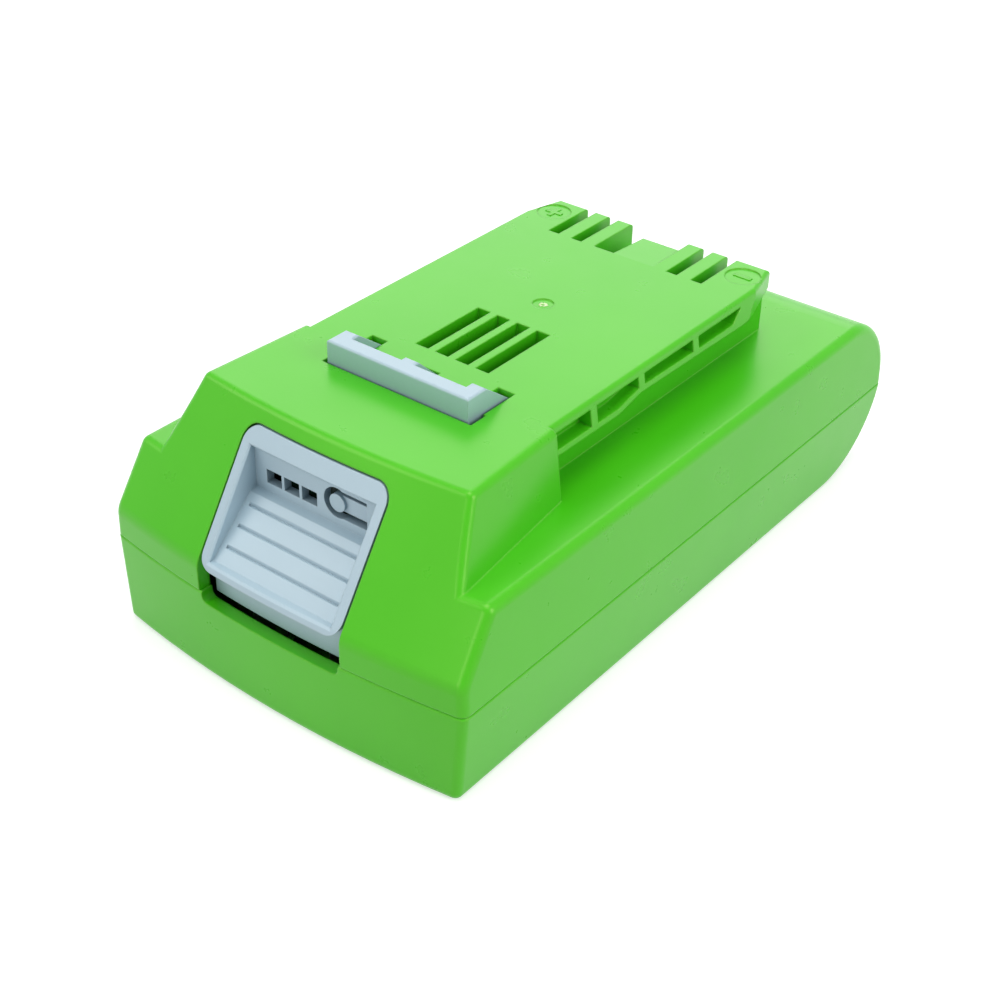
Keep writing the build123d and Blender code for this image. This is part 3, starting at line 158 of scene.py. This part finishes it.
class Nodes:
    """A small helper that builds one node material."""

    def __init__(self, name):
        self.material = bpy.data.materials.new(name)
        self.material.use_nodes = True
        self.tree = self.material.node_tree
        self.tree.nodes.clear()
        self.output = self.add("ShaderNodeOutputMaterial")
        self.shader = self.add("ShaderNodeBsdfPrincipled")
        self.link(self.shader, "BSDF", self.output, "Surface")
        self.place = self.add("ShaderNodeTexCoord")

    def add(self, kind, **settings):
        node = self.tree.nodes.new(kind)
        for key, value in settings.items():
            setattr(node, key, value)
        return node

    def link(self, source, out, target, into):
        self.tree.links.new(source.outputs[out], target.inputs[into])

    def noise(self, scale, detail=3.0, roughness=0.55):
        node = self.add("ShaderNodeTexNoise")
        node.inputs["Scale"].default_value = scale
        node.inputs["Detail"].default_value = detail
        node.inputs["Roughness"].default_value = roughness
        self.link(self.place, "Object", node, "Vector")
        return node

    def ramp(self, source, out, stops):
        """Fades from the first stop's colour to the second's."""
        node = self.add("ShaderNodeValToRGB")
        for element, stop in zip(node.color_ramp.elements, stops):
            element.position, element.color = stop
        self.link(source, out, node, "Fac")
        return node

    def span(self, source, out, low, high):
        node = self.add("ShaderNodeMapRange")
        node.inputs["To Min"].default_value = low
        node.inputs["To Max"].default_value = high
        self.link(source, out, node, "Value")
        return node

    def bump(self, source, out, distance, strength, edge):
        """Adds a bump over edges eased by their radius, and returns the node of the eased normal."""
        grained = self.add("ShaderNodeBump")
        grained.inputs["Distance"].default_value = distance
        grained.inputs["Strength"].default_value = strength
        self.link(source, out, grained, "Height")
        eased = self.add("ShaderNodeBevel", samples=SAMPLES)
        eased.inputs["Radius"].default_value = edge
        self.link(eased, "Normal", grained, "Normal")
        self.link(grained, "Normal", self.shader, "Normal")
        return eased

    def edge_highlight_mask(self, eased, patch):
        """The mask of the painted edge highlight: high where the eased normal leaves the true one, and
        broken up by the patches.
        """
        true = self.add("ShaderNodeNewGeometry")
        match = self.add("ShaderNodeVectorMath", operation="DOT_PRODUCT")
        self.link(eased, "Normal", match, 0)
        self.link(true, "Normal", match, 1)
        turned = self.add("ShaderNodeMapRange")
        turned.inputs["From Min"].default_value = EDGE_START
        turned.inputs["From Max"].default_value = EDGE_FULL
        turned.inputs["To Max"].default_value = EDGE_HIGHLIGHT_STRENGTH
        self.link(match, "Value", turned, "Value")
        broken = self.add("ShaderNodeMath", operation="MULTIPLY")
        self.link(turned, "Result", broken, 0)
        self.link(patch, "Fac", broken, 1)
        return broken

    def paint_edge_highlight(self, tint, mask, highlight_tone):
        """Mixes the painted edge highlight's colour in by the mask."""
        paint = self.add("ShaderNodeMix", data_type="RGBA")
        self.link(mask, "Value", paint, "Factor")
        self.link(tint, "Color", paint, "A")
        paint.inputs["B"].default_value = highlight_tone
        return paint

    def paint_corner_shade(self, paint, corner_shade, shade_reach):
        """Paints shade into the colour in corners of the given reach, darker where less open sky is seen.
        """
        reach = self.add("ShaderNodeAmbientOcclusion", samples=SAMPLES)
        reach.inputs["Distance"].default_value = shade_reach
        shade = self.ramp(reach, "AO", [(CORNER_SHADE_FULL, corner_shade), (CORNER_SHADE_NONE, WHITE)])
        both = self.add("ShaderNodeMix", data_type="RGBA", blend_type="MULTIPLY")
        both.inputs["Factor"].default_value = 1.0
        self.link(paint, "Result", both, "A")
        self.link(shade, "Color", both, "B")
        return both


def moulded_plastic(name, tones, gloss, roughness, grain, edge, shade_reach):
    """Satin moulded plastic: flow variation, fine sparked grain, painted highlight along edges and
    painted shade in corners.
    """
    colour, deep, highlight_tone, corner_shade = tones
    m = Nodes(name)
    flow = m.noise(FLOW_SCALE, detail=2.0)
    tint = m.ramp(flow, "Fac", [(TONE_START, deep), (TONE_FULL, colour)])
    fine = m.noise(GRAIN_SCALE, detail=1.0, roughness=0.5)
    eased = m.bump(fine, "Fac", grain, GRAIN_STRENGTH, edge)
    patch = m.noise(PATCH_SCALE, detail=4.0)
    # Painted highlight: a lighter tone mixed in along the edges
    paint = m.paint_edge_highlight(tint, m.edge_highlight_mask(eased, patch), highlight_tone)
    # Painted shade: the colour darkened where corners and recesses see little open sky
    corner_shaded = m.paint_corner_shade(paint, corner_shade, shade_reach)
    m.link(corner_shaded, "Result", m.shader, "Base Color")
    rough = m.span(patch, "Fac", roughness - SHEEN_SPREAD, roughness + SHEEN_SPREAD)
    m.link(rough, "Result", m.shader, "Roughness")
    m.shader.inputs["Specular IOR Level"].default_value = SPECULAR
    m.shader.inputs["Specular Tint"].default_value = gloss
    return m.material


def metal(name, colour, roughness, brush):
    """Bare or plated metal with a fine drawn grain."""
    m = Nodes(name)
    stretch = m.add("ShaderNodeMapping")
    stretch.inputs["Scale"].default_value = (brush, 1.0, brush)
    m.link(m.place, "Object", stretch, "Vector")
    grain = m.noise(METAL_SCALE)
    m.link(stretch, "Vector", grain, "Vector")
    dark = tuple(METAL_DARK * c for c in colour[:3]) + (1.0,)
    start, full = METAL_TONES
    tint = m.ramp(grain, "Fac", [(start, dark), (full, colour)])
    m.link(tint, "Color", m.shader, "Base Color")
    down, up = METAL_SHEEN_SPREAD
    rough = m.span(grain, "Fac", roughness - down, roughness + up)
    m.link(rough, "Result", m.shader, "Roughness")
    m.bump(grain, "Fac", SMALL_GRAIN, METAL_STRENGTH, METAL_EDGE)
    m.shader.inputs["Metallic"].default_value = 1.0
    return m.material


def coated(name, colour, other, roughness, scale):
    """A small part's surface: two close tones and a soft sheen."""
    m = Nodes(name)
    cloud = m.noise(scale, detail=4.0)
    tint = m.ramp(cloud, "Fac", [(TONE_START, other), (TONE_FULL, colour)])
    m.link(tint, "Color", m.shader, "Base Color")
    down, up = COAT_SHEEN_SPREAD
    rough = m.span(cloud, "Fac", roughness - down, roughness + up)
    m.link(rough, "Result", m.shader, "Roughness")
    m.bump(cloud, "Fac", SMALL_GRAIN, COAT_STRENGTH, COAT_EDGE)
    return m.material


def dress(frame):
    """Gives every CAD node its material, by the slot that the record names."""
    looks = {}
    for slot, name, tones, gloss, roughness, grain, edge, shade_reach in MOULDINGS:
        looks[slot] = moulded_plastic(name, tones, gloss, roughness, grain, edge, shade_reach)
    for slot, name, colour, roughness, brush in METALS:
        looks[slot] = metal(name, colour, roughness, brush)
    for slot, name, colour, other, roughness, scale in COATS:
        looks[slot] = coated(name, colour, other, roughness, scale)
    for row in frame["record"]["subparts"]:
        node = frame["nodes"][row["node"]]
        for place in node.material_slots:
            place.material = looks[row["material_slot"]]
    return looks


def ride_on_case(name, mesh, place, look, smooth=False):
    """Turns a small mesh into a piece of the case, in its place and with its look."""
    data = bpy.data.meshes.new(name)
    mesh.to_mesh(data)
    mesh.free()
    for face in data.polygons:
        face.use_smooth = smooth
    piece = bpy.data.objects.new(name, data)
    bpy.context.collection.objects.link(piece)
    piece.location = place
    data.materials.append(look)
    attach(piece, "case")


def sign_outline(arm, half_stroke, has_upright):
    """The corners of a minus, or of a plus with its upright, in order round the middle."""
    if not has_upright:
        return [(arm, -half_stroke), (arm, half_stroke), (-arm, half_stroke), (-arm, -half_stroke)]
    quarter = [(half_stroke, -arm), (half_stroke, -half_stroke), (arm, -half_stroke)]
    corners = []
    for turn in range(4):
        corners += quarter
        quarter = [(-y, x) for x, y in quarter]
    return corners


def sign(name, x, has_upright, look):
    """A raised plus or minus with drafted sides in its recess on the deck."""
    mesh = bmesh.new()
    draft = SIGN_HEIGHT / 2
    foot = sign_outline(SIGN_ARM, SIGN_STROKE / 2, has_upright)
    crown = sign_outline(SIGN_ARM - draft, SIGN_STROKE / 2 - draft, has_upright)
    low = [mesh.verts.new((u, v, 0)) for u, v in foot]
    top = [mesh.verts.new((u, v, SIGN_HEIGHT)) for u, v in crown]
    mesh.faces.new(top)
    mesh.faces.new(low[::-1])
    for i in range(len(low)):
        j = (i + 1) % len(low)
        mesh.faces.new((low[i], low[j], top[j], top[i]))
    ride_on_case(name, mesh, (x, SIGN_Y, SIGN_FLOOR_Z), look)


def wave(ripple, turn, shift=0.0):
    """The ripple's height at a turn round the stub."""
    size, waves, start = ripple
    return size * math.sin(waves * turn + start + shift)


def gate_ring(mesh, share):
    """One ring of the stub, at this share of its height."""
    ring = []
    for k in range(GATE_SIDES):
        turn = 2 * math.pi * k / GATE_SIDES
        ripple = 1 + wave(GATE_WIDE_RIPPLE, turn) + wave(GATE_FINE_RIPPLE, turn, GATE_TWIST * share)
        radius = GATE_RADIUS * math.cos(0.5 * math.pi * share) ** GATE_BULGE * ripple
        rise = GATE_HEIGHT * share * (1 + wave(GATE_BREAK, turn))
        ring.append(mesh.verts.new((radius * math.cos(turn), radius * math.sin(turn), rise)))
    return ring


def gate_stub(look):
    """The rough little stub that the moulding gate leaves, broken off unevenly."""
    mesh = bmesh.new()
    rings = [gate_ring(mesh, i / GATE_RINGS) for i in range(GATE_RINGS)]
    tip = mesh.verts.new(GATE_TIP)
    for k in range(GATE_SIDES):
        n = (k + 1) % GATE_SIDES
        for low, high in zip(rings, rings[1:]):
            mesh.faces.new((low[k], low[n], high[n], high[k]))
        mesh.faces.new((rings[-1][k], rings[-1][n], tip))
    mesh.faces.new(rings[0][::-1])
    ride_on_case("gate_stub", mesh, GATE_PLACE, look, smooth=True)


def seen_directly(tree):
    """One for camera, glossy and transmission rays, which see the white surround, else zero."""
    ray = tree.nodes.new("ShaderNodeLightPath")
    sharp = tree.nodes.new("ShaderNodeMath")
    sharp.operation = "MAXIMUM"
    clear = tree.nodes.new("ShaderNodeMath")
    clear.operation = "MAXIMUM"
    tree.links.new(ray.outputs["Is Camera Ray"], sharp.inputs[0])
    tree.links.new(ray.outputs["Is Glossy Ray"], sharp.inputs[1])
    tree.links.new(sharp.outputs["Value"], clear.inputs[0])
    tree.links.new(ray.outputs["Is Transmission Ray"], clear.inputs[1])
    return clear.outputs["Value"]


def floor_look():
    """Pale and matt. Where it is seen it also glows, and more so far from the pack."""
    m = Nodes("floor_look")
    m.shader.inputs["Base Color"].default_value = FLOOR
    m.shader.inputs["Roughness"].default_value = FLOOR_ROUGHNESS
    m.shader.inputs["Specular IOR Level"].default_value = 0.0
    away = m.add("ShaderNodeVectorMath", operation="LENGTH")
    m.link(m.place, "Object", away, "Vector")
    lift = m.span(away, "Value", FLOOR_LIFT, FLOOR_FAR_LIFT)
    lift.inputs["From Min"].default_value = FLOOR_NEAR
    lift.inputs["From Max"].default_value = FLOOR_FAR
    shown = m.add("ShaderNodeMath", operation="MULTIPLY")
    m.link(lift, "Result", shown, 0)
    m.tree.links.new(seen_directly(m.tree), shown.inputs[1])
    glow = m.add("ShaderNodeEmission")
    m.link(shown, "Value", glow, "Strength")
    both = m.add("ShaderNodeAddShader")
    m.link(m.shader, "BSDF", both, 0)
    m.link(glow, "Emission", both, 1)
    m.link(both, "Shader", m.output, "Surface")
    return m.material


def lay_floor():
    """A pale floor under the pack."""
    far = FLOOR_REACH
    mesh = bpy.data.meshes.new("floor")
    mesh.from_pydata([(-far, -far, 0), (far, -far, 0), (far, far, 0), (-far, far, 0)], [], [(0, 1, 2, 3)])
    floor = bpy.data.objects.new("floor", mesh)
    bpy.context.collection.objects.link(floor)
    mesh.materials.append(floor_look())


def white_surround():
    """A surround that is white where it is seen and soft in the light that it gives."""
    world = bpy.data.worlds.new("studio")
    bpy.context.scene.world = world
    world.use_nodes = True
    tree = world.node_tree
    tree.nodes.clear()
    out = tree.nodes.new("ShaderNodeOutputWorld")
    air = tree.nodes.new("ShaderNodeBackground")
    strength = tree.nodes.new("ShaderNodeMapRange")
    strength.inputs["To Min"].default_value = WORLD_LIGHT
    strength.inputs["To Max"].default_value = 1.0
    tree.links.new(seen_directly(tree), strength.inputs["Value"])
    air.inputs["Color"].default_value = WHITE
    tree.links.new(strength.outputs["Result"], air.inputs["Strength"])
    tree.links.new(air.outputs["Background"], out.inputs["Surface"])


def hang_lamps():
    """The soft lamps, turned to the pack."""
    for name, place, size, watts in LAMPS:
        data = bpy.data.lights.new(name, "AREA")
        data.shape = "SQUARE"
        data.size = size
        data.energy = watts
        lamp = bpy.data.objects.new(name, data)
        bpy.context.collection.objects.link(lamp)
        lamp.location = place
        lamp.rotation_euler = (Vector(LAMP_AIM) - Vector(place)).to_track_quat("-Z", "Y").to_euler()


def camera():
    """The photograph's camera."""
    azimuth = math.radians(CAMERA_AZIMUTH)
    elevation = math.radians(CAMERA_ELEVATION)
    roll = math.radians(CAMERA_ROLL)
    back = Vector((
        math.sin(azimuth) * math.cos(elevation),
        -math.cos(azimuth) * math.cos(elevation),
        math.sin(elevation),
    ))
    level = Vector((math.cos(azimuth), math.sin(azimuth), 0.0))
    up = back.cross(level)
    right = level * math.cos(roll) + up * math.sin(roll)
    top = up * math.cos(roll) - level * math.sin(roll)
    data = bpy.data.cameras.new("camera")
    data.lens = CAMERA_LENS
    data.sensor_width = CAMERA_SENSOR
    data.clip_start = CAMERA_CLIP
    eye = bpy.data.objects.new("camera", data)
    bpy.context.collection.objects.link(eye)
    turn = Matrix((right, top, back)).transposed().to_4x4()
    eye.matrix_world = Matrix.Translation(CAMERA_PLACE) @ turn
    bpy.context.scene.camera = eye


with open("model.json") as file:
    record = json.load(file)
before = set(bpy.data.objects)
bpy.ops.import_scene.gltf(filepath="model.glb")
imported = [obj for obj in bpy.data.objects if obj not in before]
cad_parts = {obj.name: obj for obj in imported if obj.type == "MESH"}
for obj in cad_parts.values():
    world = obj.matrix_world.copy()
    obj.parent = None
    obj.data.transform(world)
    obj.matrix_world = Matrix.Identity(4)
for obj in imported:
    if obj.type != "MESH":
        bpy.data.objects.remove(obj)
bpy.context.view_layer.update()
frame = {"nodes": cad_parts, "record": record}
looks = dress(frame)
sign("plus_sign", -SIGN_X, True, looks["case_green"])
sign("minus_sign", SIGN_X, False, looks["case_green"])
gate_stub(coated("gate_look", STRESSED, GREEN_PALE, GATE_ROUGHNESS, GATE_CLOUD_SCALE))
lay_floor()
white_surround()
hang_lamps()
camera()
bpy.context.scene.view_settings.view_transform = "Standard"
